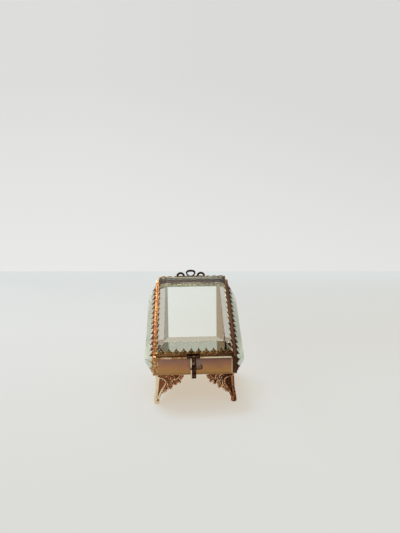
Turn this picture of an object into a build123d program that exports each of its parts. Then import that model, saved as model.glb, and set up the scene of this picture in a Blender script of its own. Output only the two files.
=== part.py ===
from build123d import *
import os
from math import atan, cos, degrees, pi, sin, sqrt, tan

# Slant-front glass casket: three bevelled glass walls, a metal front band, a sloping glass lid,
# four pierced corner feet and a hasp with a turning hook. Millimetres, +Z up, +Y to the back.
# The origin lies on the floor, under the middle of the casket's bounding box.

# ---- driving dimensions ----
width = 54.6            # over the metal frame, left to right
depth = 56.0            # over the metal frame, front to back
foot_height = 19.35     # floor to the underside of the base plate
front_height = 12.0     # base underside to the rim at the front
back_height = 53.0      # base underside to the rim at the back

base_thickness = 0.8
strip = 0.8             # metal strip folded round a glass edge
lip_thickness = 0.5     # inner lip that the glass rests against
lip_height = 1.2        # how far that lip covers the inner face of a wall
glass_edge = 1.6        # thickness of a wall plate at its rim
lid_glass_edge = 3.5    # thickness of the lid plate at its rim
lid_lip_width = 2.4     # ledge under the lid plate, from the lid's outer edge
wall_bevel_run = 5.4    # how far a wall plate's bevel reaches in from its edge
wall_bevel_rise = 5.5   # how far it stands out
lid_bevel_run = 4.5
lid_bevel_rise = 4.7
lid_inset = 2.2         # lid's side edges, in from the casket's side faces
lid_gap = 0.1           # between the closed lid and the rim

tooth_thickness = 0.4
tooth_root = 0.5        # part of the toothed strip that is sunk in its rail
lid_tooth = 2.9
lid_tooth_pitch = 4.7
wall_tooth = 3.2
wall_tooth_pitch = 4.4
tooth_margin = 0.5      # plain strip at each end of a toothed rail
sharp_corner_margin = 2.3   # the same, where a side plate's sharp top corner is

post_width = 3.6        # front posts, seen from the front
band_thickness = 0.8
band_bulge = 0.4
front_rim_height = 1.2
front_rim_reach = 0.25
back_rail_height = 2.2

# lid hinges
knuckle_radius = 1.1
hinge_pin_radius = 0.5
pin_clearance = 0.05
hinge_offset = 17.0     # middle of each hinge from the middle of the casket
knuckle_length = 3.0
knuckle_gap = 0.12
leaf_thickness = 0.5
leaf_height = 1.6
swing_clearance = 0.15  # between a turning knuckle and the rail beside it

# hasp, stud and hook
latch_offset = -1.1     # middle of the latch from the middle of the casket
hasp_knuckle_radius = 1.0
hasp_pin_radius = 0.45
hasp_knuckle_height = 1.3   # up the lid's front face
hasp_width = 3.6
hasp_side_knuckle = 2.4
hasp_thickness = 0.65
hasp_length = 14.5
hasp_back = 0.75        # gap from the frame's front plane to the hasp
slot_width = 2.0
slot_top = 1.5          # below the hasp's hinge axis
slot_length = 4.6
stud_below_slot_top = 1.25
stud_shank_radius = 0.55
stud_neck_radius = 0.4
stud_head_radius = 0.8
stud_head_thickness = 0.5
wire_diameter = 0.7
wire_clearance = 0.1
pivot_below_slot = 1.0
rivet_radius = 0.5
rivet_head_radius = 1.0
rivet_head_thickness = 0.35
hook_end_clearance = 0.2    # under the hasp's knuckle when the hook is turned up
hook_tail = 2.4

# crest
crest_thickness = 0.9
crest_offset = -0.9
crest_loop_width = 9.6
crest_loop_height = 6.1
crest_loop_pinch = 0.55     # share by which the loop is drawn in at its foot
crest_loop_points = 16      # points that the loop's outline is drawn through
crest_wire = 1.5
crest_arch_width = 6.4
crest_arch_height = 3.0
crest_arch_lap = 0.3        # how far an arch laps the loop
crest_base_height = 0.3
crest_set_back = 1.2    # middle of the crest ahead of the frame's back plane

# feet
foot_inset = 2.4        # wings behind the frame's faces; the toe comes out to the faces again
wing_length = 17.6
wing_thickness = 1.2
toe_width = 4.0
toe_height = 1.2
leg_top = 13.7          # where the leg has drawn in to the wings' corner
# Lower edge of a wing from its inner end to the leg, as shares of its length and the foot's height.
wing_edge = [(1.0, 0.93), (0.885, 0.755), (0.727, 0.673), (0.59, 0.571), (0.443, 0.46), (0.273, 0.42)]
lobe_depth = 0.22       # sag of each lobe between those points, as a share of its width
leg_hollow = 0.5        # sag of the leg's inner edge
# Outer edge above the toe: how far out, as a share of the inset, and how high.
wing_outer = [(0.83, 0.26), (0.45, 0.5), (-0.05, 0.8), (-0.25, 1.0)]
# Piercings: place as shares of length and height, half axes as shares of height, turn in degrees.
wing_holes = [(0.24, 0.755, 0.041, 0.066, 0), (0.48, 0.795, 0.028, 0.061, 30), (0.715, 0.865, 0.023, 0.056, 60)]

# ---- places worked out from them ----
half = width / 2
lid_half = half - lid_inset
slope = atan((back_height - front_height) / depth)
lid_length = depth / cos(slope)
lid_wall = lip_thickness + lid_glass_edge
wire_radius = wire_diameter / 2

stud_neck_length = wire_diameter + 2 * wire_clearance
front_reach = hasp_back + hasp_thickness + stud_neck_length + stud_head_thickness
front_y = front_reach - (front_reach + depth + wall_bevel_rise) / 2
back_y = front_y + depth
front_in = front_y + strip              # front edge of the side plates
back_in = back_y - glass_edge           # inner face of the back plate
side_back = back_in - lip_thickness     # back edge of the side plates
floor_z = foot_height + base_thickness  # where walls and posts start
bottom_in = floor_z + strip             # lower edge of the wall plates
rim_front_z = foot_height + front_height
rim_back_z = foot_height + back_height
back_glass_top = rim_back_z - back_rail_height

hinge_y = back_y + knuckle_radius + swing_clearance
hinge_z = rim_back_z

lid_plane = Plane(
    origin=(0, front_y - lid_gap * sin(slope), rim_front_z + lid_gap * cos(slope)),
    x_dir=(1, 0, 0),
    z_dir=(0, -sin(slope), cos(slope)),
)

hasp_out = hasp_knuckle_radius + swing_clearance
hasp_y = front_y - hasp_knuckle_height * sin(slope) - hasp_out * cos(slope)
hasp_z = rim_front_z + hasp_knuckle_height * cos(slope) - hasp_out * sin(slope)
hasp_back_y = front_y - hasp_back
hasp_front_y = hasp_back_y - hasp_thickness
slot_top_z = hasp_z - slot_top
slot_bottom_z = slot_top_z - slot_length
stud_z = slot_top_z - stud_below_slot_top
pivot_z = slot_bottom_z - pivot_below_slot
wire_y = hasp_front_y - wire_clearance - wire_radius
eye_radius = rivet_radius + pin_clearance + wire_radius     # of the hook's eye
hook_end = hasp_z - hasp_knuckle_radius - hook_end_clearance - pivot_z
hook_reach = hook_end - eye_radius - wire_radius            # straight arm, from the pivot


def rim_z(y):
    """Height of the sloping rim at a place along the depth."""
    return rim_front_z + (y - front_y) * tan(slope)


def glass_top_z(y):
    """Height of a side plate's top edge at a place along the depth."""
    return rim_z(y) - strip / cos(slope)


# ---- shared shapes ----
def block(x0, x1, y0, y1, z0, z1):
    """Box between two opposite corners."""
    return Pos((x0 + x1) / 2, (y0 + y1) / 2, (z0 + z1) / 2) * Box(x1 - x0, y1 - y0, z1 - z0)


def side_prism(points, x0, x1):
    """Prism from an outline in Y and Z, running from x0 to x1."""
    outline = Plane.YZ.offset(x0) * Polygon(*points, align=None)
    return extrude(outline, amount=x1 - x0, dir=(1, 0, 0))


def rod_x(radius, y, z, x0, x1):
    """Round rod along X."""
    return Pos((x0 + x1) / 2, y, z) * Rot(0, 90, 0) * Cylinder(radius, x1 - x0)


def rod_y(radius, x, z, y0, y1):
    """Round rod along Y."""
    return Pos(x, (y0 + y1) / 2, z) * Rot(90, 0, 0) * Cylinder(radius, y1 - y0)


def toothed_strip(start, end, inward, outward, run, rise, pitch, height):
    """Zigzag strip that lies on a bevel, from start to end along the bevel's foot."""
    a, b = Vector(*start), Vector(*end)
    inward, outward = Vector(*inward), Vector(*outward)
    up_bevel = (inward * run + outward * rise).normalized()
    normal = (outward * run - inward * rise).normalized()
    if normal.cross(b - a).dot(up_bevel) < 0:
        a, b = b, a
    length = (b - a).length
    count = max(1, round(length / pitch))
    step = length / count
    outline = [(0, -tooth_root), (length, -tooth_root), (length, 0)]
    for i in reversed(range(count)):
        outline.append(((i + 0.5) * step, height))
        outline.append((i * step, 0))
    face = Plane(origin=a, x_dir=b - a, z_dir=normal) * Polygon(*outline, align=None)
    return extrude(face, amount=tooth_thickness, dir=normal)


def wall_teeth(start, end, inward, outward):
    """Teeth on a wall plate's bevel."""
    return toothed_strip(
        start, end, inward, outward, wall_bevel_run, wall_bevel_rise, wall_tooth_pitch, wall_tooth
    )


def lid_teeth(start, end, inward):
    """Teeth on the lid plate's bevel, in the lid's own plane."""
    return toothed_strip(
        start, end, inward, (0, 0, 1), lid_bevel_run, lid_bevel_rise, lid_tooth_pitch, lid_tooth
    )


def bevelled_plate(outline_plane, points, edge, run, rise):
    """Glass plate: square edge first, then bevels up to the outer face."""
    outward = outline_plane.z_dir
    slab = extrude(outline_plane * Polygon(*points, align=None), amount=edge, dir=outward)
    top = outline_plane.offset(edge) * Polygon(*points, align=None)
    return slab + extrude(top, amount=rise, taper=degrees(atan(run / rise)), dir=outward)


def below_glass_line():
    """Everything under the line of the side plates' top edges, for trimming lips."""
    points = [
        (front_y, 0),
        (back_y, 0),
        (back_y, glass_top_z(back_y)),
        (front_y, glass_top_z(front_y)),
    ]
    return side_prism(points, -half, half)


def below_rim():
    """Everything under the sloping rim plane, for trimming posts."""
    points = [(front_y, 0), (back_y, 0), (back_y, rim_back_z), (front_y, rim_front_z)]
    return side_prism(points, -half, half)


# ---- casket body ----
def base_plate():
    return block(-half, half, front_y, back_y, foot_height, floor_z)


def front_band():
    """Gently bulging sheet between the front posts."""
    top = rim_front_z - front_rim_height
    middle = (floor_z + top) / 2
    face_curve = ThreePointArc((front_y, floor_z), (front_y - band_bulge, middle), (front_y, top))
    back_line = Polyline(
        (front_y, top),
        (front_y + band_thickness, top),
        (front_y + band_thickness, floor_z),
        (front_y, floor_z),
    )
    reach = half - post_width
    section = Plane.YZ.offset(-reach) * make_face(face_curve + back_line)
    return extrude(section, amount=2 * reach, dir=(1, 0, 0))


def front_top_rail():
    """Rim over the front band, cut to the lid's slope."""
    reach = half - post_width
    y0, y1 = front_y - front_rim_reach, front_y + glass_edge
    low = rim_front_z - front_rim_height
    points = [(y0, low), (y1, low), (y1, rim_z(y1)), (front_y, rim_front_z), (y0, rim_front_z)]
    return side_prism(points, -reach, reach)


def left_glass():
    points = [
        (front_in, bottom_in),
        (side_back, bottom_in),
        (side_back, glass_top_z(side_back)),
        (front_in, glass_top_z(front_in)),
    ]
    plane = Plane(origin=(-half + glass_edge, 0, 0), x_dir=(0, -1, 0), z_dir=(-1, 0, 0))
    outline = [(-y, z) for y, z in points]
    return bevelled_plate(plane, outline, glass_edge, wall_bevel_run, wall_bevel_rise)


def back_glass():
    reach = half - glass_edge
    points = [
        (-reach, bottom_in),
        (reach, bottom_in),
        (reach, back_glass_top),
        (-reach, back_glass_top),
    ]
    plane = Plane(origin=(0, back_in, 0), x_dir=(-1, 0, 0), z_dir=(0, 1, 0))
    return bevelled_plate(plane, points, glass_edge, wall_bevel_run, wall_bevel_rise)


def front_left_post():
    """Plate on the front face, a lip behind the side plate and teeth on the plate's front bevel."""
    plate = block(-half, -half + post_width, front_y, front_in, floor_z, rim_back_z) & below_rim()
    lip_x = -half + glass_edge
    lip = block(lip_x, lip_x + lip_thickness, front_in, front_in + lip_height, bottom_in, rim_back_z)
    teeth = wall_teeth(
        (-half, front_in, bottom_in + tooth_margin),
        (-half, front_in, glass_top_z(front_in) - tooth_margin),
        (0, 1, 0),
        (-1, 0, 0),
    )
    return plate + (lip & below_glass_line()) + teeth


def back_left_post():
    """Corner bar between the two plates, with lips behind them and teeth on both of their bevels."""
    lip_x = -half + glass_edge
    inner_x = lip_x + lip_thickness
    bar = block(-half, lip_x, side_back, back_y, floor_z, rim_back_z) & below_rim()
    web = block(lip_x, inner_x, side_back, back_in, floor_z, back_glass_top)
    side_lip = block(lip_x, inner_x, side_back - lip_height, side_back, bottom_in, back_glass_top)
    back_lip = block(lip_x, lip_x + lip_height, side_back, back_in, bottom_in, back_glass_top)
    side_teeth = wall_teeth(
        (-half, side_back, bottom_in + tooth_margin),
        (-half, side_back, glass_top_z(side_back) - sharp_corner_margin),
        (0, -1, 0),
        (-1, 0, 0),
    )
    back_teeth = wall_teeth(
        (lip_x, back_y, bottom_in + tooth_margin),
        (lip_x, back_y, back_glass_top - tooth_margin),
        (1, 0, 0),
        (0, 1, 0),
    )
    return bar + ((web + side_lip + back_lip) & below_glass_line()) + side_teeth + back_teeth


def left_bottom_rail():
    inner = -half + glass_edge + lip_thickness
    bar = block(-half, inner, front_in, side_back, floor_z, bottom_in)
    lip = block(
        inner - lip_thickness, inner,
        front_in + lip_height, side_back - lip_height,
        bottom_in, bottom_in + lip_height,
    )
    teeth = wall_teeth(
        (-half, front_in + tooth_margin, bottom_in),
        (-half, side_back - tooth_margin, bottom_in),
        (0, 0, 1),
        (-1, 0, 0),
    )
    return bar + lip + teeth


def left_top_rail():
    """Sloping rail that the lid closes on."""
    inner = -half + glass_edge + lip_thickness
    bar_points = [
        (front_in, glass_top_z(front_in)),
        (side_back, glass_top_z(side_back)),
        (side_back, rim_z(side_back)),
        (front_in, rim_z(front_in)),
    ]
    lip_front, lip_back = front_in + lip_height, side_back - lip_height
    drop = lip_height / cos(slope)
    lip_points = [
        (lip_front, glass_top_z(lip_front) - drop),
        (lip_back, glass_top_z(lip_back) - drop),
        (lip_back, glass_top_z(lip_back)),
        (lip_front, glass_top_z(lip_front)),
    ]
    low_y = front_in + tooth_margin
    high_y = side_back - sharp_corner_margin
    teeth = wall_teeth(
        (-half, low_y, glass_top_z(low_y)),
        (-half, high_y, glass_top_z(high_y)),
        (0, sin(slope), -cos(slope)),
        (-1, 0, 0),
    )
    bar = side_prism(bar_points, -half, inner)
    return bar + side_prism(lip_points, inner - lip_thickness, inner) + teeth


def back_bottom_rail():
    reach = half - glass_edge
    bar = block(-reach, reach, back_in, back_y, floor_z, bottom_in)
    lip_reach = reach - lip_height
    lip = block(-lip_reach, lip_reach, back_in - lip_thickness, back_in, floor_z, bottom_in + lip_height)
    teeth = wall_teeth(
        (-reach + tooth_margin, back_y, bottom_in),
        (reach - tooth_margin, back_y, bottom_in),
        (0, 0, 1),
        (0, 1, 0),
    )
    return bar + lip + teeth


def back_top_rail():
    reach = half - glass_edge
    bar_points = [
        (back_in, back_glass_top),
        (back_y, back_glass_top),
        (back_y, rim_back_z),
        (back_in, rim_z(back_in)),
    ]
    lip_y = back_in - lip_thickness
    lip_points = [
        (lip_y, back_glass_top - lip_height),
        (back_in, back_glass_top - lip_height),
        (back_in, rim_z(back_in)),
        (lip_y, rim_z(lip_y)),
    ]
    lip_reach = reach - lip_height
    teeth = wall_teeth(
        (-reach + tooth_margin, back_y, back_glass_top),
        (reach - tooth_margin, back_y, back_glass_top),
        (0, 0, -1),
        (0, 1, 0),
    )
    return side_prism(bar_points, -reach, reach) + side_prism(lip_points, -lip_reach, lip_reach) + teeth


# ---- lid hinges ----
def body_knuckles():
    """Outer pair of knuckles of each hinge, each with its leaf on the back top rail."""
    knuckles = None
    for side in (-1, 1):
        middle = side * hinge_offset
        for end in (-1, 1):
            near = middle + end * (knuckle_length / 2 + knuckle_gap)
            far = near + end * knuckle_length
            x0, x1 = min(near, far), max(near, far)
            barrel = rod_x(knuckle_radius, hinge_y, hinge_z, x0, x1)
            leaf = block(x0, x1, back_y, back_y + leaf_thickness, hinge_z - leaf_height, hinge_z)
            knuckle = barrel + leaf - rod_x(hinge_pin_radius, hinge_y, hinge_z, x0, x1)
            knuckles = knuckle if knuckles is None else knuckles + knuckle
    return knuckles


def lid_knuckles():
    """Middle knuckle of each hinge, with its leaf on the back face of the lid's back rail."""
    rail_low = Vector(0, back_y, rim_back_z) + lid_plane.z_dir * lid_gap
    rail_high = rail_low + lid_plane.z_dir * leaf_height
    leaf_high = rail_high + lid_plane.y_dir * leaf_thickness
    leaf_points = [
        (rail_low.Y, rail_low.Z),
        (rail_high.Y, rail_high.Z),
        (leaf_high.Y, leaf_high.Z),
        (hinge_y, hinge_z + knuckle_radius),
        (hinge_y, hinge_z),
    ]
    bore = hinge_pin_radius + pin_clearance
    knuckles = None
    for side in (-1, 1):
        x0 = side * hinge_offset - knuckle_length / 2
        x1 = x0 + knuckle_length
        barrel = rod_x(knuckle_radius, hinge_y, hinge_z, x0, x1) + side_prism(leaf_points, x0, x1)
        knuckle = barrel - rod_x(bore, hinge_y, hinge_z, x0, x1)
        knuckles = knuckle if knuckles is None else knuckles + knuckle
    return knuckles


def hinge_pins():
    reach = 1.5 * knuckle_length + knuckle_gap
    pins = None
    for side in (-1, 1):
        middle = side * hinge_offset
        pin = rod_x(hinge_pin_radius, hinge_y, hinge_z, middle - reach, middle + reach)
        pins = pin if pins is None else pins + pin
    return pins


# ---- lid ----
def lid_front_rail():
    wall = block(-lid_half, lid_half, 0, strip, 0, lid_wall)
    lip = block(-lid_half + strip, lid_half - strip, strip, lid_lip_width, 0, lip_thickness)
    teeth = lid_teeth(
        (-lid_half + strip + tooth_margin, strip, lid_wall),
        (lid_half - strip - tooth_margin, strip, lid_wall),
        (0, 1, 0),
    )
    return lid_plane.location * (wall + lip + teeth)


def lid_back_rail():
    wall = block(-lid_half, lid_half, lid_length - strip, lid_length, 0, lid_wall)
    lip = block(
        -lid_half + strip, lid_half - strip,
        lid_length - lid_lip_width, lid_length - strip,
        0, lip_thickness,
    )
    teeth = lid_teeth(
        (-lid_half + strip + tooth_margin, lid_length - strip, lid_wall),
        (lid_half - strip - tooth_margin, lid_length - strip, lid_wall),
        (0, -1, 0),
    )
    return lid_plane.location * (wall + lip + teeth)


def lid_left_rail():
    wall = block(-lid_half, -lid_half + strip, strip, lid_length - strip, 0, lid_wall)
    lip = block(
        -lid_half + strip, -lid_half + lid_lip_width,
        lid_lip_width, lid_length - lid_lip_width,
        0, lip_thickness,
    )
    teeth = lid_teeth(
        (-lid_half + strip, strip + tooth_margin, lid_wall),
        (-lid_half + strip, lid_length - strip - tooth_margin, lid_wall),
        (1, 0, 0),
    )
    return lid_plane.location * (wall + lip + teeth)


def lid_glass():
    reach = lid_half - strip
    points = [
        (-reach, strip),
        (reach, strip),
        (reach, lid_length - strip),
        (-reach, lid_length - strip),
    ]
    plane = Plane.XY.offset(lip_thickness)
    plate = bevelled_plate(plane, points, lid_glass_edge, lid_bevel_run, lid_bevel_rise)
    return lid_plane.location * plate


def crest_ring(ring_width, ring_height):
    """Face inside one outline of the middle loop, which is drawn in towards its foot."""
    points = []
    for i in range(crest_loop_points):
        turn = 2 * pi * i / crest_loop_points
        drawn_in = 1 - crest_loop_pinch * (1 + cos(turn)) / 2
        points.append((ring_width / 2 * sin(turn) * drawn_in, -ring_height / 2 * cos(turn)))
    return make_face(Spline(*points, periodic=True))


def crest():
    """Loop between two low arches on a bar, seated on the lid's back rail."""
    base_z = rim_back_z + lid_wall * cos(slope)
    loop_middle = base_z + crest_base_height + crest_loop_height / 2 - crest_wire
    both_wires = 2 * crest_wire
    loop = Pos(0, loop_middle) * (
        crest_ring(crest_loop_width, crest_loop_height)
        - crest_ring(crest_loop_width - both_wires, crest_loop_height - both_wires)
    )
    arch_z = base_z + crest_base_height / 2
    arch_x = (crest_loop_width + crest_arch_width) / 2 - crest_arch_lap
    arch = Ellipse(crest_arch_width / 2, crest_arch_height) - Ellipse(
        crest_arch_width / 2 - crest_wire, crest_arch_height - crest_wire
    )
    upper_half = Pos(0, crest_arch_height / 2) * Rectangle(crest_arch_width, crest_arch_height)
    arch = arch & upper_half
    arches = Pos(-arch_x, arch_z) * arch + Pos(arch_x, arch_z) * arch
    bar_length = 2 * arch_x + crest_arch_width
    foot = lid_wall * cos(slope)
    bar = Pos(0, base_z + (crest_base_height - foot) / 2) * Rectangle(bar_length, crest_base_height + foot)
    middle_y = back_y - crest_set_back
    face = Plane.XZ.offset(-middle_y) * (Pos(crest_offset, 0) * (loop + arches + bar))
    plate = extrude(face, amount=crest_thickness / 2, both=True)
    rail_space = lid_plane.location * block(
        -half, half, lid_length - lid_lip_width - lid_bevel_run, lid_length, -lid_wall, lid_wall
    )
    return plate - rail_space - lid_glass() - lid_back_rail()


# ---- hasp hinge, hasp and hook ----
def hasp_lid_knuckles():
    """Pair of knuckles on the lid's front face that carry the hasp."""
    face_point = Vector(0, hasp_y, hasp_z) + lid_plane.y_dir * hasp_out
    half_leaf = lid_plane.z_dir * (hasp_knuckle_radius / 2)
    leaf_points = [
        ((face_point + half_leaf).Y, (face_point + half_leaf).Z),
        ((face_point - half_leaf).Y, (face_point - half_leaf).Z),
        (hasp_y - half_leaf.Y, hasp_z - half_leaf.Z),
        (hasp_y + half_leaf.Y, hasp_z + half_leaf.Z),
    ]
    knuckles = None
    for end in (-1, 1):
        near = end * (hasp_width / 2 + knuckle_gap)
        far = near + end * hasp_side_knuckle
        x0, x1 = min(near, far), max(near, far)
        barrel = rod_x(hasp_knuckle_radius, hasp_y, hasp_z, x0, x1) + side_prism(leaf_points, x0, x1)
        knuckle = barrel - rod_x(hasp_pin_radius, hasp_y, hasp_z, x0, x1)
        knuckles = knuckle if knuckles is None else knuckles + knuckle
    return Pos(latch_offset, 0) * knuckles


def hasp_pin():
    reach = hasp_width / 2 + knuckle_gap + hasp_side_knuckle
    return rod_x(hasp_pin_radius, hasp_y, hasp_z, latch_offset - reach, latch_offset + reach)


def hasp():
    """Bar that hangs from its knuckle, with a slot for the stud and a hole for the rivet."""
    reach = hasp_width / 2
    barrel = rod_x(hasp_knuckle_radius, hasp_y, hasp_z, -reach, reach)
    bar = block(-reach, reach, hasp_front_y, hasp_back_y, hasp_z - hasp_length, hasp_z)
    slot = block(
        -slot_width / 2, slot_width / 2,
        hasp_front_y, hasp_back_y,
        slot_bottom_z, slot_top_z,
    )
    bore = rod_x(hasp_pin_radius + pin_clearance, hasp_y, hasp_z, -reach, reach)
    hole = rod_y(rivet_radius, 0, pivot_z, hasp_front_y, hasp_back_y)
    return Pos(latch_offset, 0) * (barrel + bar - slot - bore - hole)


def latch_stud():
    """Headed stud on the front band that the hasp's slot drops over."""
    neck_start = hasp_front_y
    head_start = neck_start - stud_neck_length
    root = front_y
    shank = rod_y(stud_shank_radius, 0, stud_z, neck_start, root)
    neck = rod_y(stud_neck_radius, 0, stud_z, head_start, neck_start)
    head = rod_y(stud_head_radius, 0, stud_z, head_start - stud_head_thickness, head_start)
    stud = Pos(latch_offset, 0) * (shank + neck + head)
    return stud - front_band() - front_top_rail()


def hook_rivet():
    head_back = wire_y - wire_radius - pin_clearance
    shank = rod_y(rivet_radius, 0, pivot_z, head_back, hasp_back_y)
    head = rod_y(rivet_head_radius, 0, pivot_z, head_back - rivet_head_thickness, head_back)
    return Pos(latch_offset, 0) * (shank + head)


def hook():
    """Bent wire: an eye round the rivet, a straight arm and tail, and an upturned end."""
    eye = Pos(0, wire_y, pivot_z) * Rot(90, 0, 0) * Torus(eye_radius, wire_radius)
    arm_z = pivot_z - eye_radius
    arm = rod_x(wire_radius, wire_y, arm_z, -hook_tail, hook_reach)
    curl_path = ThreePointArc(
        (hook_reach, wire_y, arm_z),
        (hook_reach + eye_radius, wire_y, pivot_z),
        (hook_reach, wire_y, pivot_z + eye_radius),
    )
    start = Plane(origin=(hook_reach, wire_y, arm_z), z_dir=(1, 0, 0))
    curl = sweep(start * Circle(wire_radius), path=curl_path)
    return Pos(latch_offset, 0) * (eye + arm + curl)


# ---- feet ----
def wing_outline():
    """Half of a corner foot seen square on: x runs inward from the wings' corner, y is the height."""
    edge = [(u * wing_length, v * foot_height) for u, v in wing_edge]
    lobes = Curve()
    for start, end in zip(edge, edge[1:]):
        reach = sqrt((start[0] - end[0]) ** 2 + (start[1] - end[1]) ** 2)
        lobes += SagittaArc(start, end, reach * lobe_depth)
    toe_inner = toe_width - foot_inset
    leg = SagittaArc(edge[-1], (toe_inner, toe_height), -leg_hollow)
    outer_points = [(-u * foot_inset, v * foot_height) for u, v in wing_outer]
    outer = Spline((-foot_inset, toe_height), *outer_points)
    closing = Polyline(outer_points[-1], (wing_length, foot_height), edge[0])
    toe = Polyline(
        (toe_inner, toe_height),
        (toe_inner, 0),
        (-foot_inset, 0),
        (-foot_inset, toe_height),
    )
    face = make_face(lobes + leg + toe + outer + closing)
    for u, v, half_width, half_height, turn in wing_holes:
        place = Pos(u * wing_length, v * foot_height) * Rot(0, 0, turn)
        face -= place * Ellipse(half_width * foot_height, half_height * foot_height)
    return face


def front_left_foot():
    """Corner foot: two pierced wings at a right angle, and a leg that flares out to its toe."""
    corner_x, corner_y = -half + foot_inset, front_y + foot_inset
    front_plane = Plane(origin=(corner_x, corner_y, 0), x_dir=(1, 0, 0), z_dir=(0, -1, 0))
    front_wing = extrude(front_plane * wing_outline(), amount=wing_thickness, dir=(0, 1, 0))
    side_plane = Plane(origin=(corner_x, corner_y, 0), x_dir=(0, 1, 0), z_dir=(1, 0, 0))
    side_wing = extrude(side_plane * wing_outline(), amount=wing_thickness, dir=(1, 0, 0))
    toe = block(-half, -half + toe_width, front_y, front_y + toe_width, 0, toe_height)
    toe_middle = Pos(-half + toe_width / 2, front_y + toe_width / 2)
    low = Plane.XY.offset(toe_height) * (toe_middle * Rectangle(toe_width, toe_width))
    wings_corner = Pos(corner_x + wing_thickness / 2, corner_y + wing_thickness / 2)
    high = Plane.XY.offset(leg_top) * (wings_corner * Rectangle(wing_thickness, wing_thickness))
    return front_wing + side_wing + toe + loft([low, high])


def main():
    os.makedirs("parts", exist_ok=True)
    nodes = {
        "base_plate": base_plate(),
        "front_band": front_band(),
        "front_top_rail": front_top_rail(),
        "back_bottom_rail": back_bottom_rail(),
        "back_top_rail": back_top_rail(),
        "back_glass": back_glass(),
        "body_knuckles": body_knuckles(),
        "hinge_pins": hinge_pins(),
        "latch_stud": latch_stud(),
        "lid_front_rail": lid_front_rail(),
        "lid_back_rail": lid_back_rail(),
        "lid_glass": lid_glass(),
        "lid_knuckles": lid_knuckles(),
        "crest": crest(),
        "hasp_lid_knuckles": hasp_lid_knuckles(),
        "hasp_pin": hasp_pin(),
        "hasp": hasp(),
        "hook_rivet": hook_rivet(),
        "hook": hook(),
    }
    handed = {
        "front_{}_post": front_left_post(),
        "back_{}_post": back_left_post(),
        "{}_bottom_rail": left_bottom_rail(),
        "{}_top_rail": left_top_rail(),
        "{}_glass": left_glass(),
        "lid_{}_rail": lid_left_rail(),
        "front_{}_foot": front_left_foot(),
    }
    middle = Plane.XZ.offset(-(front_y + back_y) / 2)
    handed["back_{}_foot"] = mirror(handed["front_{}_foot"], about=middle)
    for name, shape in handed.items():
        nodes[name.format("left")] = shape
        nodes[name.format("right")] = mirror(shape, about=Plane.YZ)
    for name, shape in nodes.items():
        export_step(shape, f"parts/{name}.step")


main()
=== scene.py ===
from math import atan2, cos, pi, radians, sin

import bmesh
import bpy
from mathutils import Matrix, Vector
from mathutils.bvhtree import BVHTree


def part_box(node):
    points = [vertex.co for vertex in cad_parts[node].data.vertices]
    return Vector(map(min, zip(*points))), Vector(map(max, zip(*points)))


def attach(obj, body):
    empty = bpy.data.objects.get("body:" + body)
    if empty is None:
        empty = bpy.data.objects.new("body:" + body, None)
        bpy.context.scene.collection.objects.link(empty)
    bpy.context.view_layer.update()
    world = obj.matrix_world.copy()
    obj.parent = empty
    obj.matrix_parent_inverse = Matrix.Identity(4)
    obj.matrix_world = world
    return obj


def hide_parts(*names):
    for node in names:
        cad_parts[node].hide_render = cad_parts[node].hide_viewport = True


bl_info = {
    "name": "Slant-front glass casket",
    "version": (1, 0, 0),
    "blender": (4, 5, 0),
    "location": "View3D > Sidebar > Casket",
    "description": "Dresses a small bevelled glass casket with gilt strips, scroll feet, crest and latch",
    "category": "Object",
}

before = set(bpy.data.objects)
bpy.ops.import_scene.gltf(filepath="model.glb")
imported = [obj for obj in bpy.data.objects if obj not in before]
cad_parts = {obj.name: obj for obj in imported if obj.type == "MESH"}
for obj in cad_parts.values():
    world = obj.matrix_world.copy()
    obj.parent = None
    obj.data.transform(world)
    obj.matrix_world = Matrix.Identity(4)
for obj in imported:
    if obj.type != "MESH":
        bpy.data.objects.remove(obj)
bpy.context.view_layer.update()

MM = 0.001

# ---- places read from the frame ----
PLATE_LOW, PLATE_HIGH = [Vector(corner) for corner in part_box("base_plate")]
HALF_WIDTH = PLATE_HIGH.x
FRONT_Y = PLATE_LOW.y
BACK_Y = PLATE_HIGH.y
BAND_LOW, BAND_HIGH = [Vector(corner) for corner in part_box("front_band")]
LID_LOW, LID_HIGH = [Vector(corner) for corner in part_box("lid_front_rail")]
HASP_LOW, HASP_HIGH = [Vector(corner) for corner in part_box("hasp")]
RIVET_HIGH = Vector(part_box("hook_rivet")[1])
HOOK_HIGH = Vector(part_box("hook")[1])

GLASS_NODES = ("left_glass", "right_glass", "back_glass", "lid_glass")
STRIP_NODES = (
    "front_left_post", "front_right_post", "back_left_post", "back_right_post",
    "left_bottom_rail", "right_bottom_rail", "back_bottom_rail",
    "left_top_rail", "right_top_rail", "back_top_rail",
)
LID_STRIP_NODES = ("lid_front_rail", "lid_back_rail", "lid_left_rail", "lid_right_rail")
LID_HINGE_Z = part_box("back_left_post")[1][2]
RIM_HEIGHT = 1.2 * MM
FRONT_RIM_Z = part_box("front_top_rail")[0][2] + RIM_HEIGHT
LID_SLOPE = atan2(LID_HINGE_Z - FRONT_RIM_Z, BACK_Y - FRONT_Y)
HINGE_NODES = {
    "body_knuckles": "casket",
    "hinge_pins": "casket",
    "lid_knuckles": "lid",
    "hasp_lid_knuckles": "lid",
    "hasp_pin": "lid",
}

# Where the window and the lamp lie, seen from the casket.
WINDOW_SIDE = (-0.83, 0.1, 0.55)
DAYLIGHT_SIDE = (-0.3, 0.45, 1.1)

# How alike two places or directions have to be to count as the same.
WELD = 0.002 * MM
SAME_PLACE = 0.01 * MM
SAME_PLANE = radians(0.5)

# Turns above which an edge is eased, and above which it shows as a crease.
EDGE_TURN = radians(25)
CREASE_TURN = radians(40)


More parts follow.
